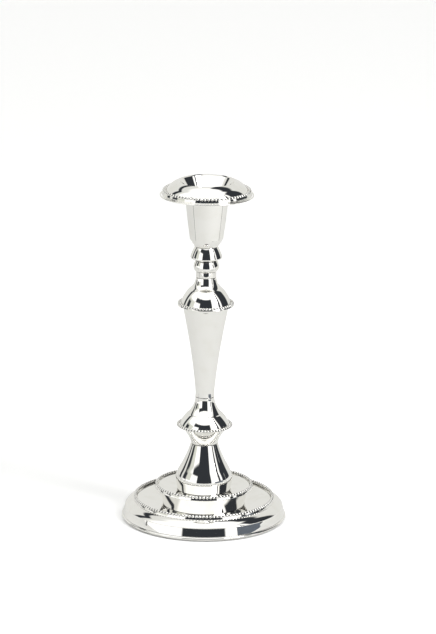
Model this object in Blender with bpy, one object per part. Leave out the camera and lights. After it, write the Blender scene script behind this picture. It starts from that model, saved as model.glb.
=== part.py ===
"""A weighted, silver-plated candlestick with beaded borders.

It is built the way the real one is: thin turned and spun brass sections are
stacked on one threaded steel rod, a nut in the candle cup and a nut under the
base weight pull the stack together, and the candle nozzle with its drip pan
lifts out of the cup.

+Z is up. The origin is the middle of the felt's underside, on the table.
Every section is round about the Z axis. Outlines are (radius, height) points
in millimetres that run down the outer side; turn() makes metres of them.
"""
import math

import bmesh
import bpy

MM = 0.001

# Driving dimensions, in millimetres
SEGMENTS = 28            # facets round every turned section
GAP = 0.3                # play between sections that touch
SHEET = 0.9              # wall of the spun sections
BEAD = 1.1               # radius of the beads on the base and the pan
SMALL_BEAD = 1.0         # radius of the beads on the stem
FOOT_RADIUS = 60.0
LOWER_BEAD_RADIUS = 50.0
UPPER_BEAD_RADIUS = 34.4
BELL_RADIUS = 20.8
KNOP_BEAD_RADIUS = 19.2
PAN_BEAD_RADIUS = 30.5
PAN_RADIUS = 33.9
LIP_RADIUS = 20.3
CUP_RADIUS = 15.8
CANDLE_RADIUS = 11.0     # a standard 22 mm dinner candle
TOTAL_HEIGHT = 252.0

# Heights of the joints between the sections, from the table up
FELT_TOP = 1.2
COVER_TOP = 2.3
SKIRT_BOTTOM = 3.2
LOWER_PLATE = 10.2       # where the upper step stands on the dished lower plate
UPPER_PLATE = 24.0       # edge of the dished upper plate
BELL_SEAT = 21.4         # middle of the upper plate, under the bell
WAIST = 56.4
LOWER_SEAM = 69.6
NECK_CREASE_LOW = 78.6
COLUMN_FOOT = 91.6
UPPER_SEAM = 160.8
NECK_CREASE_HIGH = 172.3
COLLAR_FOOT = 181.2
RING_FOOT = 185.6
RING_TOP = 193.6
CUP_FOOT = 203.9
CUP_TOP = 241.0
SOCKET_FLOOR = 214.0
THROAT = 237.6           # where the funnel meets the socket

# The tie rod and its nuts: M4
ROD_RADIUS = 2.0
ROD_BOTTOM = 3.0
ROD_TOP = 210.8
BORE = ROD_RADIUS + 0.4
NUT_FLATS = 7.0
NUT_HEIGHT = 3.2
WASHER = 1.0
NUT_WELL = 8.4           # roof of the well in the weight that holds the lower nut

# Colour, roughness and metallic value of each kind of piece
SILVER = ((0.90, 0.89, 0.86), 0.06, 1.0)
STEEL = ((0.56, 0.57, 0.58), 0.32, 1.0)
IRON = ((0.10, 0.10, 0.11), 0.65, 1.0)
BRASS = ((0.78, 0.60, 0.30), 0.30, 1.0)
FELT = ((0.02, 0.08, 0.05), 0.95, 0.0)


def clear_scene():
    """Remove whatever the file holds, so that only the model is left."""
    for old in list(bpy.data.objects):
        bpy.data.objects.remove(old, do_unlink=True)


def finish(name, look):
    """A Principled material with the piece's colour, roughness and metallic value."""
    colour, roughness, metallic = look
    material = bpy.data.materials.new(name)
    material.use_nodes = True
    shader = material.node_tree.nodes["Principled BSDF"]
    shader.inputs["Base Color"].default_value = (*colour, 1.0)
    shader.inputs["Roughness"].default_value = roughness
    shader.inputs["Metallic"].default_value = metallic
    return material


def curve(start, pull, end, steps):
    """A round stretch from start to end that bends towards pull, both ends included."""
    points = []
    for i in range(steps + 1):
        t = i / steps
        a, b, c = (1 - t) ** 2, 2 * t * (1 - t), t * t
        points.append(tuple(a * s + b * p + c * e for s, p, e in zip(start, pull, end)))
    return points


def wire(radius, height, half_width, sides=6):
    """The outline of a round wire bent to a ring."""
    points = []
    for i in range(sides):
        angle = math.tau * (i + 0.5) / sides
        points.append((radius + half_width * math.sin(angle), height + half_width * math.cos(angle)))
    return points


def inside(outer, wall):
    """The inner face of a sheet whose outer face is given: wall nearer the axis, corners mitred."""
    normals = []
    for (r0, z0), (r1, z1) in zip(outer, outer[1:]):
        length = math.hypot(r1 - r0, z1 - z0)
        normals.append(((z1 - z0) / length, (r0 - r1) / length))
    first, last = normals[0], normals[-1]
    inner = []
    for (r, z), (ax, az), (bx, bz) in zip(outer, [first] + normals, normals + [last]):
        scale = wall / (1 + ax * bx + az * bz)
        inner.append((r + (ax + bx) * scale, z + (az + bz) * scale))
    return inner


def sheet(outer, wall=SHEET):
    """The closed outline of a spun sheet."""
    return outer + inside(outer, wall)[::-1]


def collect(name, bm, look):
    """Close the mesh, shade it and put it in the scene as a named piece."""
    bmesh.ops.remove_doubles(bm, verts=bm.verts, dist=1e-6)
    bmesh.ops.recalc_face_normals(bm, faces=bm.faces)
    mesh = bpy.data.meshes.new(name)
    bm.to_mesh(mesh)
    bm.free()
    mesh.shade_smooth()
    mesh.set_sharp_from_angle(angle=math.radians(35))
    mesh.materials.append(finish(name, look))
    piece = bpy.data.objects.new(name, mesh)
    bpy.context.scene.collection.objects.link(piece)
    return piece


def turn(name, outline, look, segments=SEGMENTS):
    """Spin a closed outline once round the Z axis. Points at radius 0 close on the axis."""
    bm = bmesh.new()
    points = [bm.verts.new((r * MM, 0.0, z * MM)) for r, z in outline]
    edges = [bm.edges.new(pair) for pair in zip(points, points[1:] + points[:1])
             if pair[0].co.x + pair[1].co.x > 0]
    bmesh.ops.spin(bm, geom=points + edges, cent=(0, 0, 0), axis=(0, 0, 1),
                   angle=math.tau, steps=segments, use_merge=True)
    return collect(name, bm, look)


def hex_nut(name, bottom, look):
    """An M4 hexagon nut round the rod, as high as NUT_HEIGHT."""
    bm = bmesh.new()
    rings = []
    for radius, z in ((NUT_FLATS / 2, bottom), (NUT_FLATS / 2, bottom + NUT_HEIGHT)):
        rings.append([nut_corner(bm, radius, z, i) for i in range(12)])
    for z in (bottom + NUT_HEIGHT, bottom):
        rings.append([bore_corner(bm, z, i) for i in range(12)])
    for ring, following in zip(rings, rings[1:] + rings[:1]):
        for i in range(12):
            j = (i + 1) % 12
            bm.faces.new((ring[i], ring[j], following[j], following[i]))
    return collect(name, bm, look)


def nut_corner(bm, flat, z, i):
    """Point i of the hexagon: even points are its corners, odd ones the middles of its sides."""
    radius = flat / math.cos(math.pi / 6) if i % 2 == 0 else flat
    angle = math.tau * i / 12
    return bm.verts.new((radius * math.cos(angle) * MM, radius * math.sin(angle) * MM, z * MM))


def bore_corner(bm, z, i):
    """Point i of the nut's bore."""
    angle = math.tau * i / 12
    return bm.verts.new((BORE * math.cos(angle) * MM, BORE * math.sin(angle) * MM, z * MM))


def disc(radius, bottom, top, hole=0.0):
    """The outline of a flat disc, with a hole for the rod if one is given."""
    return [(hole, top), (radius, top), (radius, bottom), (hole, bottom)]


# Base


def felt_pad():
    """Felt glued under the base: the candlestick stands on it."""
    turn("felt_pad", disc(57.0, 0.0, FELT_TOP), FELT)


def bottom_cover():
    """Steel disc that closes the base over the weight."""
    turn("bottom_cover", disc(57.4, FELT_TOP + GAP, COVER_TOP), STEEL)


def foot_wire():
    """Rounded wire soldered round the lower edge of the foot."""
    edge = curve((59.2, SKIRT_BOTTOM - GAP), (FOOT_RADIUS + 0.8, 2.0), (59.2, 0.5), 4)
    turn("foot_wire", edge + [(57.8, 0.5), (57.8, SKIRT_BOTTOM - GAP)], SILVER)


def foot_skirt():
    """Outer step of the base: a convex moulding over an almost upright band."""
    top = [(LOWER_BEAD_RADIUS - 0.8, 13.9), (51.6, 14.0)]
    moulding = curve((52.2, 13.8), (55.6, 12.5), (57.8, 9.4), 4)
    band = [(58.3, 9.0), (59.2, SKIRT_BOTTOM)]
    turn("foot_skirt", sheet(top + moulding + band), SILVER)


def lower_bead_wire():
    """Beaded wire over the seam between the lower plate and the skirt."""
    turn("lower_bead_wire", wire(LOWER_BEAD_RADIUS, 15.6, BEAD), SILVER)


def lower_plate():
    """Dished plate of the lower step."""
    middle = LOWER_PLATE - 0.4
    top = curve((20.4, middle), (33.0, middle + 0.3), (LOWER_BEAD_RADIUS - 1.3, 14.1), 4)
    turn("lower_plate", sheet(top), SILVER)


def upper_tier():
    """Upper step of the base: a dished plate on a hollow-sided wall."""
    foot_level = LOWER_PLATE + GAP + 0.1
    edge = (UPPER_BEAD_RADIUS - 1.3, UPPER_PLATE)
    plate = [(BORE, BELL_SEAT)] + curve((22.0, BELL_SEAT), (28.0, UPPER_PLATE - 1.6), edge, 4)
    rim = [(33.4, 23.3), (34.3, 23.3), (34.4, 22.2), (32.8, 21.9)]
    wall = curve((32.5, 21.7), (30.7, 16.0), (29.7, foot_level), 4)
    inner_wall = [(28.7, foot_level), (29.7, 16.0), (31.9, 21.8)]
    under = [(22.0, BELL_SEAT - SHEET), (BORE, BELL_SEAT - SHEET)]
    turn("upper_tier", plate + rim + wall + inner_wall + under, SILVER)


def tier_bead_wire():
    """Beaded wire round the edge of the upper step."""
    turn("tier_bead_wire", wire(UPPER_BEAD_RADIUS, 24.9, BEAD), SILVER)


def base_bell():
    """Bell that carries the knops, hollow inside, with a rounded mouth."""
    flare = curve((9.9, WAIST - GAP), (12.3, 46.6), (17.8, 38.1), 4)
    mouth = curve((17.8, 38.1), (20.4, 34.2), (BELL_RADIUS, 29.5), 3)[1:]
    lip = curve((BELL_RADIUS, 29.5), (BELL_RADIUS, 25.5), (BELL_RADIUS - 1.0, BELL_SEAT + GAP), 3)[1:]
    outer = flare + mouth + lip
    crown = [(8.7, WAIST - GAP - 1.6), (BORE, WAIST - GAP - 1.6), (BORE, WAIST - GAP)]
    turn("base_bell", outer + inside(outer, SHEET)[::-1][:-1] + crown, SILVER)


def base_weight():
    """Cast-iron weight: a disc in the foot with a hub that bears on the upper step."""
    hub_top = BELL_SEAT - SHEET - GAP
    disc_top = LOWER_PLATE - 0.4 - SHEET - GAP
    outline = [(BORE, hub_top), (19.6, hub_top), (19.6, disc_top), (52.0, disc_top),
               (52.0, COVER_TOP + GAP), (10.5, COVER_TOP + GAP), (10.5, NUT_WELL), (BORE, NUT_WELL)]
    turn("base_weight", outline, IRON)


def clamp_pieces():
    """Washer and nut under the weight that pull the whole stack together."""
    washer_bottom = NUT_WELL - GAP - WASHER
    turn("clamp_washer", disc(7.0, washer_bottom, washer_bottom + WASHER, BORE), STEEL)
    hex_nut("clamp_nut", washer_bottom - GAP - NUT_HEIGHT, STEEL)


def tie_rod():
    """Threaded rod from the base weight up into the candle cup."""
    turn("tie_rod", disc(ROD_RADIUS, ROD_BOTTOM, ROD_TOP), STEEL, segments=16)


# Stem


def lower_knop():
    """Inverted cone under the lower beaded edge, with the ring that rests on the bell."""
    cone = curve((17.4, LOWER_SEAM - 1.0), (12.2, 64.2), (9.9, WAIST + 1.0), 4)
    outer = [(KNOP_BEAD_RADIUS - 1.4, LOWER_SEAM - 0.2)] + cone + [(9.7, WAIST)]
    inner = [(BORE, WAIST), (BORE, WAIST + 2.0), (8.8, WAIST + 2.0), (11.6, 64.0),
             (16.0, LOWER_SEAM - 0.2)]
    turn("lower_knop", outer + inner, SILVER)


def knop_bead_wire():
    """Beaded wire round the widest line of the lower knop."""
    turn("knop_bead_wire", wire(KNOP_BEAD_RADIUS, 70.2, SMALL_BEAD), SILVER)


def lower_shoulder():
    """Shoulder that spreads from the column's foot to the lower beaded edge."""
    neck = curve((7.0, COLUMN_FOOT - GAP), (6.5, 85.6), (12.2, NECK_CREASE_LOW + 0.4), 4)
    cone = curve((13.0, NECK_CREASE_LOW), (17.0, 74.2), (18.0, LOWER_SEAM + 1.2), 3)
    foot = LOWER_SEAM + 0.1
    outer = neck + cone + [(KNOP_BEAD_RADIUS - 1.4, foot)]
    inner = [(16.6, foot), (15.4, 73.4), (9.2, 79.6), (5.8, 85.6), (5.8, COLUMN_FOOT - GAP)]
    turn("lower_shoulder", outer + inner, SILVER)


def column():
    """Tapered column, widest under the upper beaded edge, hollow round the rod."""
    flare = [(17.6, UPPER_SEAM - 0.9), (16.2, 157.6)]
    taper = curve((16.0, 156.6), (8.5, 119.3), (6.7, COLUMN_FOOT + 2.4), 7)
    outer = flare + taper + [(7.0, COLUMN_FOOT)]
    inner = [(5.8, COLUMN_FOOT), (5.6, 97.0), (7.8, 119.0), (11.0, 139.0), (15.2, UPPER_SEAM - 0.9)]
    turn("column", outer + inner, SILVER)


def shoulder_bead_wire():
    """Beaded wire over the seam between the column and the upper shoulder."""
    turn("shoulder_bead_wire", wire(KNOP_BEAD_RADIUS, 161.6, SMALL_BEAD), SILVER)


def upper_shoulder():
    """Shoulder that spreads from the collar to the upper beaded edge."""
    neck = curve((7.3, COLLAR_FOOT - GAP), (7.8, 175.4), (11.8, NECK_CREASE_HIGH + 0.3), 4)
    cone = curve((12.4, NECK_CREASE_HIGH - 0.3), (16.4, 167.5), (18.1, UPPER_SEAM + 1.0), 3)
    foot = UPPER_SEAM - 0.6
    outer = neck + cone + [(KNOP_BEAD_RADIUS - 1.4, foot)]
    inner = [(16.6, foot), (15.4, 165.6), (8.8, 173.2), (6.0, 177.4), (6.0, 179.2),
             (BORE, 179.2), (BORE, COLLAR_FOOT - GAP)]
    turn("upper_shoulder", outer + inner, SILVER)


def neck_collar():
    """Plain collar between the upper shoulder and the neck ring."""
    outline = disc(7.35, COLLAR_FOOT, RING_FOOT - GAP, BORE)
    turn("neck_collar", outline, SILVER)


def neck_ring():
    """Rounded ring of the neck."""
    outer = curve((7.9, RING_TOP - GAP), (10.5, 188.0), (7.8, RING_FOOT), 5)
    turn("neck_ring", [(BORE, RING_TOP - GAP)] + outer + [(BORE, RING_FOOT)], SILVER)


def cup_knop():
    """Flared skirt under the candle cup."""
    flare = curve((8.3, CUP_FOOT - GAP), (10.1, 200.7), (11.3, 196.8), 3)
    lip = [(11.5, 196.0), (11.2, 195.1), (7.9, RING_TOP)]
    turn("cup_knop", [(BORE, CUP_FOOT - GAP)] + flare + lip + [(BORE, RING_TOP)], SILVER)


def rod_spacers():
    """Discs that keep the rod in the middle of the hollow column."""
    turn("upper_spacer", disc(10.6, 144.0, 146.0, BORE), BRASS)
    turn("lower_spacer", disc(5.0, 97.8, 99.8, BORE), BRASS)


# Candle cup and lift-out nozzle


def candle_cup():
    """Cup that holds the lift-out nozzle."""
    wall = curve((CUP_RADIUS, CUP_TOP), (14.75, 229.8), (12.1, 209.7), 5)
    foot = curve((12.1, 209.7), (11.0, 207.6), (8.4, CUP_FOOT), 2)[1:]
    floor = CUP_FOOT + 1.2
    inner = [(BORE, floor), (7.8, floor), (11.0, 210.2)] + inside(wall, SHEET)[:-1][::-1]
    turn("candle_cup", wall + foot + [(BORE, CUP_FOOT)] + inner, SILVER)


def cup_pieces():
    """Washer and nut on the cup's floor, at the top of the rod."""
    washer_bottom = CUP_FOOT + 1.2 + GAP
    turn("cup_washer", disc(5.6, washer_bottom, washer_bottom + WASHER, BORE), STEEL)
    hex_nut("cup_nut", washer_bottom + WASHER + GAP, STEEL)


def nozzle_pan():
    """Drip pan: a domed brim round a funnel that leads the candle into the socket."""
    crown = [(LIP_RADIUS + 0.4, TOTAL_HEIGHT - 0.1)]
    brim = crown + curve((22.0, 251.5), (26.8, 249.4), (PAN_BEAD_RADIUS - 1.5, 245.2), 3)
    apron = [(PAN_BEAD_RADIUS - 1.2, 243.8), (PAN_BEAD_RADIUS, 243.3), (PAN_RADIUS - 1.5, 242.2)]
    under = [(PAN_RADIUS - 1.5, 241.4), (29.4, 242.8), (26.4, 247.3), (LIP_RADIUS, TOTAL_HEIGHT - 1.2)]
    throat = [(15.0, CUP_TOP + 0.9), (CANDLE_RADIUS + 1.2, THROAT)]
    neck = curve((CANDLE_RADIUS + 0.35, THROAT), (11.5, 239.8), (12.6, 241.4), 3)
    funnel = neck + [(LIP_RADIUS - 0.7, TOTAL_HEIGHT)]
    turn("nozzle_pan", brim + apron + under + throat + funnel, SILVER)


def pan_bead_wire():
    """Beaded wire round the pan's brim."""
    turn("pan_bead_wire", wire(PAN_BEAD_RADIUS + 0.1, 244.9, BEAD), SILVER)


def pan_rim_wire():
    """Round wire that stiffens the pan's edge."""
    turn("pan_rim_wire", wire(PAN_RADIUS - 0.6, 241.5, 0.6), SILVER)


def nozzle_socket():
    """Slightly tapered tube that grips the candle."""
    top = THROAT - GAP
    outline = [(CANDLE_RADIUS + 1.2, top), (CANDLE_RADIUS + 0.2, SOCKET_FLOOR - 0.8),
               (CANDLE_RADIUS - 0.6, SOCKET_FLOOR - 0.8), (CANDLE_RADIUS + 0.35, top)]
    turn("nozzle_socket", outline, SILVER)


def nozzle_floor():
    """Disc that closes the socket: the candle stands on it."""
    turn("nozzle_floor", disc(CANDLE_RADIUS - 0.9, SOCKET_FLOOR - 0.8, SOCKET_FLOOR), SILVER)


def build():
    clear_scene()
    for make in (felt_pad, bottom_cover, foot_wire, foot_skirt, lower_bead_wire, lower_plate,
                 upper_tier, tier_bead_wire, base_bell, base_weight, clamp_pieces, tie_rod,
                 lower_knop, knop_bead_wire, lower_shoulder, column, shoulder_bead_wire,
                 upper_shoulder, neck_collar, neck_ring, cup_knop, rod_spacers, candle_cup,
                 cup_pieces, nozzle_pan, pan_bead_wire, pan_rim_wire, nozzle_socket, nozzle_floor):
        make()


build()
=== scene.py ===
import math

import bpy
from mathutils import Matrix, Vector


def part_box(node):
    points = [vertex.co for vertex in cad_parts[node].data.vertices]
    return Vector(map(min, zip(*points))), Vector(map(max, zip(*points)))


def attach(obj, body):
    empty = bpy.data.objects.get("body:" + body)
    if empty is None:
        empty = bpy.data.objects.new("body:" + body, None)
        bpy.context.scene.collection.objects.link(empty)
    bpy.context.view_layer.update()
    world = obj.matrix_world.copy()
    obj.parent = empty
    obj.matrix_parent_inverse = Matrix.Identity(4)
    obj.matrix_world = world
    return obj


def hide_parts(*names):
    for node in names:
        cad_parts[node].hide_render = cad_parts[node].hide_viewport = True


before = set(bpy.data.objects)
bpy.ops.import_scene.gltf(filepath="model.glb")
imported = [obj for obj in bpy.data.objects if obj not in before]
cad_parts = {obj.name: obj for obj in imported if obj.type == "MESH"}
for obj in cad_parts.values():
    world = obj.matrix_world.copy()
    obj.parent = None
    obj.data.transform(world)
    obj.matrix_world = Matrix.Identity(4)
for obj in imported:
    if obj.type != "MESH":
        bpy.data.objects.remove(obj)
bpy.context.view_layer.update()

MM = 0.001

# Shapes, in millimetres
SHEET = 0.9              # wall of the spun sections
BORE = 2.4               # radius of the hole for the rod
DISH = 2.6               # how far the upper plate sinks towards its middle
CORNER = 0.22            # softened radius of a turned edge
FELT_CORNER = 0.5
ROUND = 256              # facets round a large turned section
SLIM = 160               # facets round a slender one
CORNER_STEPS = 5

# Beaded wires: node, number of beads, radius of a bead, height of the band below it, body
BEAD_ROWS = (
    ("lower_bead_wire", 126, 1.15, 0.95, "stick"),
    ("tier_bead_wire", 86, 1.15, 1.0, "stick"),
    ("knop_bead_wire", 55, 1.02, 0.0, "stick"),
    ("shoulder_bead_wire", 55, 1.02, 0.25, "stick"),
    ("pan_bead_wire", 76, 1.15, 1.0, "nozzle"),
)
BEAD_WAIST = 0.35        # width of the wire between two beads, as a share of the bead's
BEAD_STEPS = 10          # rings of points along one bead
BEAD_SIDES = 14          # points round a bead
BAND_OUT = 1.15          # how far the band's foot stands out, as a share of the bead's radius
BAND_SLOPE = 0.7         # how far the band's top stands behind its foot
BAND_DEPTH = 1.6

# Colours of the metals and the felt
SILVER_BRIGHT = (0.935, 0.928, 0.905, 1.0)
SILVER_SOFT = (0.905, 0.895, 0.862, 1.0)
# Near black painted into the gaps between the beads: painted shade
CREVICE_SHADE = (0.05, 0.05, 0.055, 1.0)
STEEL_BRIGHT = (0.60, 0.61, 0.62, 1.0)
STEEL_DULL = (0.46, 0.46, 0.47, 1.0)
BRASS_BRIGHT = (0.80, 0.62, 0.32, 1.0)
BRASS_DULL = (0.62, 0.45, 0.20, 1.0)
IRON_BLACK = (0.045, 0.045, 0.048, 1.0)
IRON_RUST = (0.10, 0.052, 0.032, 1.0)
FELT_SHADE = (0.006, 0.028, 0.018, 1.0)
FELT_LIGHT = (0.03, 0.11, 0.07, 1.0)

# The camera, in metres
VIEW_FALL = math.radians(15.102)     # how far it looks down
VIEW_DISTANCE = 2.3942
VIEW_HEIGHT = 0.15097                # height of the point on the axis that it looks at
LENS = 188.16                        # focal length in mm, on a 36 mm sensor
ASIDE = 0.0089                       # the candlestick stands this far left of the middle
LEAN = math.radians(0.66)

# The studio. The view is exposed for the silver, so the table and the backdrop turn white.
WHITE = (1.25, 1.25, 1.24, 1.0)
PALE = (0.80, 0.80, 0.77, 1.0)
SAGE = (0.72, 0.73, 0.66, 1.0)
DARK = (0.034, 0.038, 0.044, 1.0)
BACKDROP = (1.1, 1.1, 1.1, 1.0)
TABLE_TONE = (0.80, 0.80, 0.785, 1.0)
TABLE_LIT = (1.0, 1.0, 1.0, 1.0)
TABLE_GLOW = 0.15
TABLE_DROP = 0.0001
FLOOR_FRONT = -0.6
FLOOR_BACK = 3.0
FLOOR_SIDE = 2.5

# Windows in the white surroundings: colour, degrees round from the front (right is
# positive), degrees up, softness of the edges. A later window covers an earlier one.
WINDOWS = (
    (PALE, (98, 200), (-90, 62), 6.0),
    (PALE, (-200, -98), (-90, 62), 6.0),
    (SAGE, (-100, -60), (8, 32), 3.0),
    (DARK, (-30, 31), (-90, 46), 1.5),
    (DARK, (-58, -24), (32, 46), 2.5),
    (DARK, (64, 73), (-5, 55), 1.5),
    (DARK, (82, 126), (-12, 58), 2.5),
    (DARK, (-122, -110), (-10, 45), 2.0),
    (DARK, (-165, -112), (40, 47), 1.5),
    (DARK, (112, 172), (48, 66), 3.0),
    (DARK, (-100, -82), (5, 26), 3.0),
)

# Cards on the table: name, first and last degrees round, distance, height, colour
CARDS = (
    ("blue_card", 44.0, 80.0, 0.30, 0.050, (0.16, 0.185, 0.23, 1.0)),
    ("left_card", -81.0, -78.5, 0.28, 0.160, (0.25, 0.25, 0.25, 1.0)),
    ("right_card", 96.0, 99.0, 0.38, 0.160, (0.35, 0.35, 0.35, 1.0)),
)
CARD_STEPS = 24

KEY_PLACE = (1.25, -0.9, 1.5)
KEY_AIM = (0.0, 0.0, 0.1)
KEY_SIZE = (0.5, 1.2)
KEY_WATTS = 18


# Shapes


def span(node):
    """The lowest and highest point of a CAD node and its greatest radius, in mm."""
    low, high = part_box(node)
    return low.z / MM, high.z / MM, high.x / MM


def curve(start, pull, end, steps=18):
    """A round stretch from start to end that bends towards pull, both ends included."""
    points = []
    for i in range(steps + 1):
        t = i / steps
        a, b, c = (1 - t) ** 2, 2 * t * (1 - t), t * t
        points.append(tuple(a * s + b * p + c * e for s, p, e in zip(start, pull, end)))
    return points


def inside(outer, wall=SHEET):
    """The inner face of a sheet whose outer face is given: wall nearer the axis, corners mitred."""
    normals = []
    for (r0, z0), (r1, z1) in zip(outer, outer[1:]):
        length = math.hypot(r1 - r0, z1 - z0)
        normals.append(((z1 - z0) / length, (r0 - r1) / length))
    inner = []
    for (r, z), (ax, az), (bx, bz) in zip(outer, normals[:1] + normals, normals + normals[-1:]):
        scale = wall / (1 + ax * bx + az * bz)
        inner.append((r + (ax + bx) * scale, z + (az + bz) * scale))
    return inner


def sheet(outer):
    """The closed outline of a spun sheet."""
    return outer + inside(outer)[::-1]


def disc(node, hole=0.0):
    """The outline of a plain disc that fills the node's box, with a hole if one is given."""
    low, high, reach = span(node)
    return [(hole, high), (reach, high), (reach, low), (hole, low)]


def softened(outline, radius=CORNER, least=math.radians(14), most=math.radians(178)):
    """The outline with each corner that turns by least to most made into a small arc."""
    points = []
    for i, corner in enumerate(outline):
        here = Vector(corner)
        before = Vector(outline[i - 1]) - here
        after = Vector(outline[(i + 1) % len(outline)]) - here
        bend = math.pi - before.angle(after)
        if here.x < 1e-6 or bend < least or bend > most:
            points.append(corner)
            continue
        reach = min(radius * math.tan(bend / 2), before.length * 0.45, after.length * 0.45)
        first = here + before.normalized() * reach
        last = here + after.normalized() * reach
        points += curve(first, here, last, CORNER_STEPS)
    return points


def new_piece(name, points, faces, material, body):
    """A smooth-shaded mesh object that rides on one body of the CAD model."""
    mesh = bpy.data.meshes.new(name)
    mesh.from_pydata([tuple(c * MM for c in p) for p in points], [], faces)
    mesh.validate()
    mesh.shade_smooth()
    mesh.set_sharp_from_angle(angle=math.radians(50))
    mesh.materials.append(material)
    piece = bpy.data.objects.new(name, mesh)
    bpy.context.scene.collection.objects.link(piece)
    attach(piece, body)
    return piece


def around(r, z, angle):
    """A point at radius r and height z, turned by angle about the Z axis."""
    return (r * math.cos(angle), r * math.sin(angle), z)


def turned(name, outline, material, body="stick", segments=ROUND, corner=CORNER):
    """Spin a closed outline once round the Z axis. Points at radius 0 close on the axis."""
    points, rings = [], []
    for r, z in softened(outline, corner):
        if r < 1e-6:
            rings.append([len(points)] * segments)
            points.append((0.0, 0.0, z))
            continue
        rings.append(list(range(len(points), len(points) + segments)))
        points += [around(r, z, math.tau * i / segments) for i in range(segments)]
    faces = []
    for upper, lower in zip(rings, rings[1:] + rings[:1]):
        if upper[0] == upper[1] and lower[0] == lower[1]:
            continue
        for i in range(segments):
            j = (i + 1) % segments
            corners = [upper[i], lower[i], lower[j], upper[j]]
            faces.append([c for k, c in enumerate(corners) if c != corners[k - 1]])
    return new_piece(name, points, faces, material, body)


def hoop_faces(first, rings, size):
    """Faces of a closed hoop: rings of size points each, the first of them at number first."""
    faces = []
    for k in range(rings):
        a, b = first + k * size, first + (k + 1) % rings * size
        for j in range(size):
            i = (j + 1) % size
            faces.append((a + j, b + j, b + i, a + i))
    return faces


def bead_hoop(radius, height, count, half_width):
    """Points and painted-shade mask of a ring of touching beads. The mask is 1 between two beads, where
    shade is painted, and 0 on one.
    """
    points, shade_mask = [], []
    for k in range(count * BEAD_STEPS):
        bead, step = divmod(k, BEAD_STEPS)
        lean = math.pi * step / BEAD_STEPS
        angle = (bead + 0.5 - math.cos(lean) / 2) * math.tau / count
        width = half_width * math.sqrt(BEAD_WAIST ** 2 + (1 - BEAD_WAIST ** 2) * math.sin(lean) ** 2)
        for j in range(BEAD_SIDES):
            side = math.tau * j / BEAD_SIDES
            points.append(around(radius + width * math.cos(side), height + width * math.sin(side), angle))
            # Painted shade is strongest where two beads meet
            shade_mask.append(1 - math.sin(lean))
    return points, shade_mask


def band_outline(radius, height, half_width, band):
    """The outline of the sloping band under a row of beads, as high as given below the beads."""
    top, bottom = height + 0.1, height - half_width - band
    foot = radius + half_width * BAND_OUT
    back = foot - BAND_DEPTH
    return softened([(back, top), (foot - BAND_SLOPE, top), (foot, bottom), (back, bottom)])[::-1]


def beaded(node, count, half_width, band, body, material):
    """A beaded wire: the ring of beads and, if band isn't 0, the band under it, as one piece."""
    low, high, reach = span(node)
    height = (low + high) / 2
    radius = reach - (high - low) / 2
    points, shade_mask = bead_hoop(radius, height, count, half_width)
    faces = hoop_faces(0, count * BEAD_STEPS, BEAD_SIDES)
    if band:
        outline = band_outline(radius, height, half_width, band)
        faces += hoop_faces(len(points), ROUND, len(outline))
        for k in range(ROUND):
            points += [around(r, z, math.tau * k / ROUND) for r, z in outline]
        shade_mask += [0.0] * (ROUND * len(outline))
    piece = new_piece(node.replace("wire", "row"), points, faces, material, body)
    # Where shade is painted between the beads
    shade = piece.data.attributes.new("shade_mask", "FLOAT", "POINT")
    shade.data.foreach_set("value", shade_mask)
    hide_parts(node)


# Materials


class Graph:
    """A node tree with short ways to add nodes to it."""

    def __init__(self, tree):
        self.nodes, self.links = tree.nodes, tree.links
        self.nodes.clear()

    def add(self, kind, inputs=None, **settings):
        node = self.nodes.new(kind)
        for key, value in settings.items():
            setattr(node, key, value)
        for key, value in (inputs or {}).items():
            if isinstance(value, bpy.types.NodeSocket):
                self.links.new(value, node.inputs[key])
            else:
                node.inputs[key].default_value = value
        return node

    def math(self, operation, first, second=0.0, clamp=False):
        inputs = {0: first, 1: second}
        return self.add("ShaderNodeMath", inputs, operation=operation, use_clamp=clamp).outputs[0]

    def mix(self, factor, first, second):
        inputs = {"Factor": factor, 6: first, 7: second}
        return self.add("ShaderNodeMix", inputs, data_type="RGBA").outputs[2]

    def ramp(self, value, low, high, to_low=0.0, to_high=1.0):
        """value from low..high brought to to_low..to_high, held at the ends."""
        inputs = {"Value": value, "From Min": low, "From Max": high, "To Min": to_low, "To Max": to_high}
        return self.add("ShaderNodeMapRange", inputs, interpolation_type="SMOOTHSTEP").outputs[0]

    def place(self):
        """Where the shaded point is on its object, in metres."""
        return self.add("ShaderNodeTexCoord").outputs["Object"]

    def noise(self, place, scale, detail, distortion=0.0):
        inputs = {"Vector": place, "Scale": scale, "Detail": detail, "Distortion": distortion}
        return self.add("ShaderNodeTexNoise", inputs).outputs[0]

    def lathe_marks(self, place, scale, detail):
        """Noise that depends on the radius and the height alone, like the marks of a lathe."""
        x, y, z = self.add("ShaderNodeSeparateXYZ", {0: place}).outputs
        squares = self.math("ADD", self.math("MULTIPLY", x, x), self.math("MULTIPLY", y, y))
        along = self.add("ShaderNodeCombineXYZ", {0: self.math("SQRT", squares), 1: z}).outputs[0]
        return self.noise(along, scale, detail)

    def bump(self, height, strength, distance, normal=None):
        inputs = {"Height": height, "Strength": strength, "Distance": distance}
        if normal:
            inputs["Normal"] = normal
        return self.add("ShaderNodeBump", inputs).outputs[0]


def new_material(name):
    material = bpy.data.materials.new(name)
    material.use_nodes = True
    return material, Graph(material.node_tree)


def principled(graph, **inputs):
    shader = graph.add("ShaderNodeBsdfPrincipled", {k.replace("_", " "): v for k, v in inputs.items()})
    graph.add("ShaderNodeOutputMaterial", {"Surface": shader.outputs[0]})


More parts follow.
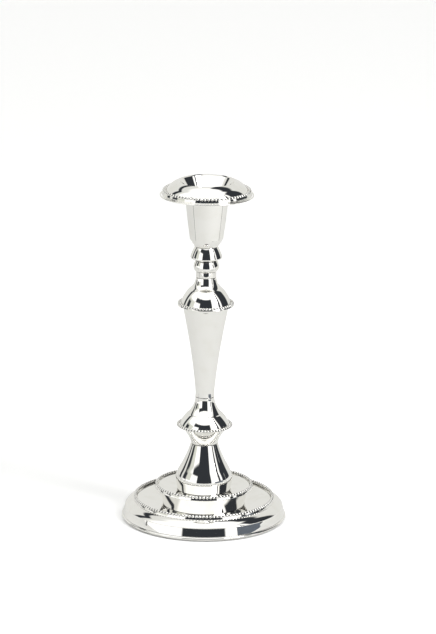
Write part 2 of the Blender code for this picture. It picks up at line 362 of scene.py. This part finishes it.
def polished_silver(name, crevice_shaded=False):
    """Hand-polished silver plate: fine lines left round it by the cloth, faint wear and bloom.

    When asked, the narrow gaps between the beads are painted near black: painted shade.
    """
    material, graph = new_material(name)
    place = graph.place()
    lines = graph.lathe_marks(place, 4200.0, 3.0)
    bloom = graph.noise(place, 95.0, 4.0)
    swell = graph.noise(place, 34.0, 1.0)
    colour = graph.mix(graph.ramp(bloom, 0.42, 0.70), SILVER_BRIGHT, SILVER_SOFT)
    if crevice_shaded:
        # Painted shade: near black mixed in where two beads meet
        shade_depth = graph.add("ShaderNodeAttribute", attribute_name="shade_mask").outputs["Fac"]
        colour = graph.mix(graph.ramp(shade_depth, 0.12, 0.55), colour, CREVICE_SHADE)
    clouded = graph.ramp(bloom, 0.3, 0.75, 0.021, 0.042)
    rough = graph.math("ADD", clouded, graph.ramp(lines, 0.4, 0.8, 0.0, 0.015))
    waves = graph.bump(swell, 1.0, 0.00002)
    normal = graph.bump(lines, 0.12, 0.000001, waves)
    principled(graph, Base_Color=colour, Metallic=1.0, Roughness=rough, Normal=normal)
    return material


def turned_metal(name, bright, dull, rough):
    """Plain metal with the marks of the lathe round it and dull patches."""
    material, graph = new_material(name)
    place = graph.place()
    lines = graph.lathe_marks(place, 900.0, 4.0)
    patches = graph.noise(place, 120.0, 5.0)
    colour = graph.mix(graph.ramp(patches, 0.35, 0.72), bright, dull)
    roughness = graph.ramp(patches, 0.3, 0.75, rough * 0.8, rough * 1.25)
    normal = graph.bump(lines, 0.4, 0.00003)
    principled(graph, Base_Color=colour, Metallic=1.0, Roughness=roughness, Normal=normal)
    return material


def cast_iron(name):
    """Rough casting with a sandy skin."""
    material, graph = new_material(name)
    place = graph.place()
    sand = graph.noise(place, 900.0, 6.0)
    rust = graph.noise(place, 60.0, 5.0)
    colour = graph.mix(graph.ramp(rust, 0.55, 0.8), IRON_BLACK, IRON_RUST)
    roughness = graph.ramp(sand, 0.3, 0.7, 0.55, 0.8)
    normal = graph.bump(sand, 0.8, 0.0002)
    principled(graph, Base_Color=colour, Metallic=0.55, Roughness=roughness, Normal=normal)
    return material


def green_felt(name):
    """Dark green felt with short matted fibres."""
    material, graph = new_material(name)
    place = graph.place()
    fibres = graph.noise(place, 2600.0, 4.0, 1.5)
    clumps = graph.noise(place, 240.0, 3.0)
    shade = graph.math("MULTIPLY", fibres, graph.ramp(clumps, 0.2, 0.8, 0.7, 1.2), clamp=True)
    colour = graph.mix(shade, FELT_SHADE, FELT_LIGHT)
    roughness = graph.ramp(clumps, 0.2, 0.8, 0.86, 0.98)
    normal = graph.bump(fibres, 0.9, 0.0002)
    principled(graph, Base_Color=colour, Roughness=roughness, Sheen_Weight=0.4, Normal=normal)
    return material


def silver(node, outline, plate, body="stick", segments=ROUND):
    """A turned silver piece that stands for the node."""
    piece = turned(node + "_fine", outline, plate, body, segments)
    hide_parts(node)


# Base, from the table up


def foot_wire(plate):
    """Rounded wire round the lower edge of the foot."""
    low, high, reach = span("foot_wire")
    edge = curve((reach - 0.8, high), (reach + 0.8, (low + high) / 2 + 0.3), (reach - 0.8, low))
    silver("foot_wire", edge + [(reach - 2.2, low), (reach - 2.2, high)], plate)


def foot_skirt(plate):
    """Outer step: a convex moulding over a sloping band."""
    low, high, reach = span("foot_skirt")
    top = [(reach - 10.0, high - 0.5), (reach - 7.6, high - 0.4)]
    moulding = curve((reach - 7.0, high - 0.6), (reach - 3.6, high - 1.7), (reach - 1.5, high - 4.6))
    band = [(reach - 1.5, high - 5.0), (reach, low)]
    silver("foot_skirt", sheet(top + moulding + band), plate)


def lower_plate(plate):
    """Dished plate of the lower step."""
    low, high, reach = span("lower_plate")
    middle = low + SHEET
    silver("lower_plate", sheet(curve((20.4, middle), (33.0, middle + 0.3), (reach, high))), plate)


def upper_tier(plate):
    """Upper step: a dished plate with a lipped rim on a hollow-sided wall."""
    low, high, reach = span("upper_tier")
    middle = high - DISH
    dish = [(BORE, middle)] + curve((18.5, middle), (27.0, high - 1.8), (reach - 1.2, high))
    rim = [(reach - 0.9, high - 0.6), (reach, high - 0.7), (reach + 0.1, high - 1.8)]
    rim.append((reach - 1.5, high - 2.1))
    wall = curve((reach - 1.8, high - 2.3), (reach - 3.6, high - 8.0), (reach - 4.6, low))
    inner = [(reach - 5.6, low), (reach - 4.6, high - 8.0), (reach - 2.4, high - 2.2)]
    under = [(22.0, middle - SHEET), (BORE, middle - SHEET)]
    silver("upper_tier", dish + rim + wall + inner + under, plate)


def base_bell(plate):
    """Bell that carries the knops, hollow inside, its mouth turned in to a lip."""
    low, high, reach = span("base_bell")
    flare = curve((9.9, high), (12.7, high - 9.1), (17.8, high - 18.0))
    mouth = curve((17.8, high - 18.0), (20.2, high - 22.2), (20.55, high - 25.0))[1:]
    turned_in = curve((20.55, high - 25.0), (20.75, high - 26.6), (20.55, high - 28.0))[1:]
    lip = curve((20.55, high - 28.0), (20.1, low + 3.4), (reach - 1.3, low))[1:]
    outer = flare + mouth + turned_in + lip
    crown = [(8.7, high - 1.6), (BORE, high - 1.6), (BORE, high)]
    silver("base_bell", outer + inside(outer)[::-1][:-1] + crown, plate)


# Stem


def lower_knop(plate):
    """Inverted cone under the lower beaded edge, with the ring that rests on the bell."""
    low, high, reach = span("lower_knop")
    cone = curve((reach - 0.4, high - 0.8), (12.2, high - 5.2), (9.9, low + 1.0))
    outer = [(reach, high)] + cone + [(9.7, low)]
    inner = [(BORE, low), (BORE, low + 2.0), (8.8, low + 2.0), (11.6, high - 5.4), (16.0, high)]
    silver("lower_knop", outer + inner, plate, segments=SLIM)


def lower_shoulder(plate):
    """Shoulder that spreads from the column's foot to the lower beaded edge."""
    low, high, reach = span("lower_shoulder")
    neck = curve((7.0, high), (6.5, high - 5.7), (12.2, high - 12.3))
    cone = curve((13.0, high - 12.7), (17.0, high - 17.1), (reach, low + 1.1))
    outer = neck + cone + [(reach - 0.2, low)]
    inner = [(16.6, low), (15.4, low + 3.7), (9.2, low + 9.9), (5.8, high - 5.7), (5.8, high)]
    silver("lower_shoulder", outer + inner, plate, segments=SLIM)


def column(plate):
    """Tapered column, widest under the upper beaded edge."""
    low, high, reach = span("column")
    taper = curve((16.0, high - 3.3), (8.5, high - 40.6), (6.7, low + 2.4), 40)
    outer = [(reach, high), (16.2, high - 2.3)] + taper + [(7.0, low)]
    inner = [(5.8, low), (5.6, low + 5.4), (7.8, low + 27.4), (11.0, low + 47.4), (15.2, high)]
    silver("column", outer + inner, plate, segments=SLIM)


def upper_shoulder(plate):
    """Shoulder that spreads from the collar to the upper beaded edge."""
    low, high, reach = span("upper_shoulder")
    neck = curve((7.3, high), (7.8, high - 5.5), (11.8, high - 8.3))
    cone = curve((12.4, high - 8.9), (16.4, high - 13.4), (reach, low + 1.6))
    outer = neck + cone + [(reach - 0.3, low)]
    inner = [(16.6, low), (15.4, low + 5.4), (8.8, high - 7.7), (6.0, high - 3.5)]
    roof = [(6.0, high - 1.7), (BORE, high - 1.7), (BORE, high)]
    silver("upper_shoulder", outer + inner + roof, plate, segments=SLIM)


def neck_collar(plate):
    """Plain collar between the upper shoulder and the neck ring."""
    silver("neck_collar", disc("neck_collar", BORE), plate, segments=SLIM)


def neck_ring(plate):
    """Rounded ring of the neck."""
    low, high, reach = span("neck_ring")
    outer = curve((7.9, high), (10.5, low + 2.4), (7.8, low))
    silver("neck_ring", [(BORE, high)] + outer + [(BORE, low)], plate, segments=SLIM)


def cup_knop(plate):
    """Flared skirt under the candle cup."""
    low, high, reach = span("cup_knop")
    flare = curve((8.3, high), (10.1, high - 2.9), (11.3, high - 6.8))
    lip = [(reach, low + 2.4), (11.2, low + 1.5), (7.9, low)]
    silver("cup_knop", [(BORE, high)] + flare + lip + [(BORE, low)], plate, segments=SLIM)


def candle_cup(plate):
    """Cup that holds the lift-out nozzle."""
    low, high, reach = span("candle_cup")
    floor = low + 1.2
    wall = curve((reach, high), (reach - 1.05, high - 11.2), (12.1, low + 5.8), 30)
    foot = curve((12.1, low + 5.8), (11.0, low + 3.7), (8.4, low))[1:]
    inner = [(BORE, floor), (7.8, floor), (11.0, low + 6.3)] + inside(wall)[:-1][::-1]
    silver("candle_cup", wall + foot + [(BORE, low)] + inner, plate, segments=SLIM)


# Lift-out nozzle


def nozzle_pan(plate):
    """Drip pan: a domed brim round a funnel that leads the candle into the socket."""
    low, high, reach = span("nozzle_pan")
    brim = [(20.7, high)] + curve((21.8, high - 0.45), (26.8, high - 2.6), (29.2, high - 6.8))
    apron = [(30.5, high - 8.5), (reach, high - 9.8)]
    under = [(reach, high - 10.6), (29.4, high - 9.2), (26.4, high - 4.7), (20.3, high - 1.2)]
    throat = [(15.0, low + 4.3), (12.2, low)]
    funnel = curve((11.35, low), (11.5, low + 2.2), (12.6, low + 3.8)) + [(19.4, high - 0.55)]
    silver("nozzle_pan", brim + apron + under + throat + funnel, plate, "nozzle")


def pan_rim_wire(plate):
    """Round wire that stiffens the pan's edge."""
    low, high, reach = span("pan_rim_wire")
    half = (high - low) / 2
    sides = 16
    outline = []
    for i in range(sides):
        angle = math.tau * i / sides
        outline.append((reach - half + half * math.sin(angle), low + half + half * math.cos(angle)))
    silver("pan_rim_wire", outline, plate, "nozzle")


def nozzle_socket(plate):
    """Slightly tapered tube that grips the candle."""
    low, high, reach = span("nozzle_socket")
    outline = [(reach, high), (reach - 1.0, low), (reach - 1.8, low), (reach - 0.85, high)]
    silver("nozzle_socket", outline, plate, "nozzle", SLIM)


def nozzle_floor(plate):
    """Disc that closes the socket."""
    silver("nozzle_floor", disc("nozzle_floor"), plate, "nozzle", SLIM)


# Everything that isn't silver


def felt_pad():
    """Felt under the base."""
    felt = turned("felt_pad_fine", disc("felt_pad"), green_felt("green_felt"), corner=FELT_CORNER)
    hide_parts("felt_pad")


def dress(material, nodes):
    """Give the CAD nodes that are shown as they are a better material."""
    for name in nodes:
        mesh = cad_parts[name].data
        mesh.materials.clear()
        mesh.materials.append(material)


def inner_metals():
    """Cover, weight, rod, nuts, washers and spacers."""
    steel = turned_metal("turned_steel", STEEL_BRIGHT, STEEL_DULL, 0.3)
    dress(steel, ("bottom_cover", "clamp_washer", "clamp_nut", "tie_rod", "cup_washer", "cup_nut"))
    dress(turned_metal("turned_brass", BRASS_BRIGHT, BRASS_DULL, 0.28), ("upper_spacer", "lower_spacer"))
    dress(cast_iron("cast_iron"), ("base_weight",))


# Studio


def camera():
    """Looks slightly down at the candlestick from the front."""
    data = bpy.data.cameras.new("view")
    data.sensor_width, data.lens = 36.0, LENS
    data.clip_start, data.clip_end = 0.1, 50.0
    eye = bpy.data.objects.new("view", data)
    bpy.context.scene.collection.objects.link(eye)
    turn = Matrix.Rotation(math.pi / 2 - VIEW_FALL, 4, "X") @ Matrix.Rotation(LEAN, 4, "Z")
    right, back = turn.col[0].to_3d(), turn.col[2].to_3d()
    spot = Vector((0, 0, VIEW_HEIGHT)) + back * VIEW_DISTANCE + right * ASIDE
    eye.matrix_world = Matrix.Translation(spot) @ turn
    bpy.context.scene.camera = eye


def patch(graph, azimuth, height, sides, ends, soft):
    """1 inside a window of the surroundings, 0 outside: degrees round and degrees up."""
    left = graph.ramp(azimuth, sides[0] - soft, sides[0] + soft)
    right = graph.ramp(azimuth, sides[1] - soft, sides[1] + soft, 1.0, 0.0)
    bottom = graph.ramp(height, ends[0] - soft, ends[0] + soft)
    top = graph.ramp(height, ends[1] - soft, ends[1] + soft, 1.0, 0.0)
    return graph.math("MULTIPLY", graph.math("MULTIPLY", left, right), graph.math("MULTIPLY", bottom, top))


def surroundings():
    """The room: white screens with windows between them, seen only in the silver."""
    world = bpy.data.worlds.new("studio")
    world.use_nodes = True
    bpy.context.scene.world = world
    graph = Graph(world.node_tree)
    way = graph.add("ShaderNodeTexCoord").outputs["Generated"]
    x, y, z = graph.add("ShaderNodeSeparateXYZ", {0: way}).outputs
    azimuth = graph.math("DEGREES", graph.math("ARCTAN2", x, graph.math("MULTIPLY", y, -1.0)))
    height = graph.math("DEGREES", graph.math("ARCSINE", z))
    colour = WHITE
    for shade, sides, ends, soft in WINDOWS:
        colour = graph.mix(patch(graph, azimuth, height, sides, ends, soft), colour, shade)
    straight = graph.add("ShaderNodeLightPath").outputs["Is Camera Ray"]
    colour = graph.mix(straight, colour, BACKDROP)
    glow = graph.add("ShaderNodeBackground", {"Color": colour, "Strength": 1.0})
    graph.add("ShaderNodeOutputWorld", {"Surface": glow.outputs[0]})


def stage_piece(name, points, faces, material):
    """A mesh that belongs to the studio."""
    mesh = bpy.data.meshes.new(name)
    mesh.from_pydata(points, [], faces)
    mesh.shade_smooth()
    mesh.materials.append(material)
    prop = bpy.data.objects.new(name, mesh)
    bpy.context.scene.collection.objects.link(prop)
    return prop


def floor():
    """A white table whose front edge is just out of view."""
    material, graph = new_material("white_table")
    straight = graph.add("ShaderNodeLightPath").outputs["Is Camera Ray"]
    tone = graph.mix(straight, TABLE_TONE, TABLE_LIT)
    glow = graph.math("MULTIPLY", straight, TABLE_GLOW)
    principled(graph, Base_Color=tone, Roughness=0.9, Emission_Color=TABLE_LIT, Emission_Strength=glow)
    corners = [(-FLOOR_SIDE, FLOOR_FRONT, 0), (FLOOR_SIDE, FLOOR_FRONT, 0), (FLOOR_SIDE, FLOOR_BACK, 0),
               (-FLOOR_SIDE, FLOOR_BACK, 0)]
    table = stage_piece("table", corners, [(0, 1, 2, 3)], material)
    table.location.z = -TABLE_DROP


def card(name, first, last, away, height, tone):
    """An upright card that only the silver shows, from first to last degrees round."""
    points, faces = [], []
    for i in range(CARD_STEPS + 1):
        way = math.radians(first + (last - first) * i / CARD_STEPS)
        x, y = away * math.sin(way), -away * math.cos(way)
        points += [(x, y, 0.0), (x, y, height)]
    for a in range(0, 2 * CARD_STEPS, 2):
        faces.append((a, a + 2, a + 3, a + 1))
    material, graph = new_material(name)
    principled(graph, Base_Color=tone, Roughness=0.9)
    panel = stage_piece(name, points, faces, material)
    panel.visible_camera = False
    panel.visible_shadow = False


def key_light():
    """The main light, above and to the right, which throws the soft shadow to the left."""
    data = bpy.data.lights.new("key", "AREA")
    data.shape, data.energy = "RECTANGLE", KEY_WATTS
    data.size, data.size_y = KEY_SIZE
    light = bpy.data.objects.new("key", data)
    light.location = KEY_PLACE
    light.rotation_mode = "QUATERNION"
    light.rotation_quaternion = (Vector(KEY_PLACE) - Vector(KEY_AIM)).to_track_quat("Z", "Y")
    bpy.context.scene.collection.objects.link(light)


def candlestick():
    """Every piece of the object."""
    plate = polished_silver("silver_plate")
    for make in (foot_wire, foot_skirt, lower_plate, upper_tier, base_bell, lower_knop, lower_shoulder,
                 column, upper_shoulder, neck_collar, neck_ring, cup_knop, candle_cup, nozzle_pan,
                 pan_rim_wire, nozzle_socket, nozzle_floor):
        make(plate)
    # These rows carry painted shade in the gaps between their beads
    plate = polished_silver("beaded_silver_crevice_shade", crevice_shaded=True)
    for node, count, half_width, band, body in BEAD_ROWS:
        beaded(node, count, half_width, band, body, plate)
    felt_pad()
    inner_metals()


def studio():
    """Table, cards, surroundings, light and camera."""
    floor()
    for given in CARDS:
        card(*given)
    surroundings()
    key_light()
    camera()
    bpy.context.scene.view_settings.view_transform = "Standard"


candlestick()
studio()
